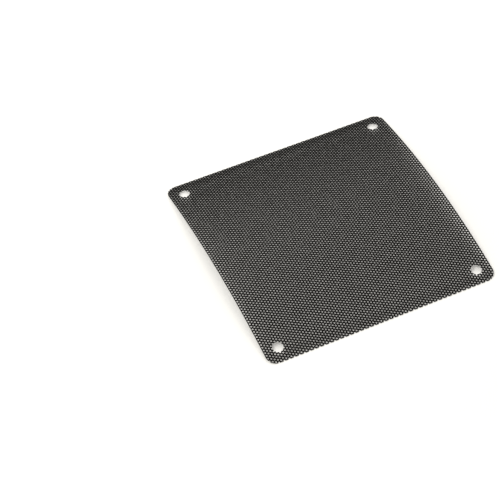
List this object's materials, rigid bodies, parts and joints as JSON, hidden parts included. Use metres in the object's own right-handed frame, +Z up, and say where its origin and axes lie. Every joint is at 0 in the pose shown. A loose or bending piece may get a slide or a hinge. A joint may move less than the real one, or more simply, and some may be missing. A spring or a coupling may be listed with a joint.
{
  "type": "fan dust filter",
  "caption": "Square of thin black film with rounded corners and corner fixing holes, punched all over with fine round holes, that keeps dust out of a case fan. Lies free, curled upwards.",
  "frame": {"origin": "centre of the base, on the surface that the front and back edges rest on", "axes": "+Z up from that surface; X along the straight lines of the curl, Y around the curl"},
  "size_m": [0.12, 0.1192, 0.0069],
  "materials": {
    "black_film": "matte black PVC film with a faint sheen and finely punched round holes"
  },
  "bodies": {
    "root": {"filter_sheet": "black_film"}
  },
  "joints": []
}
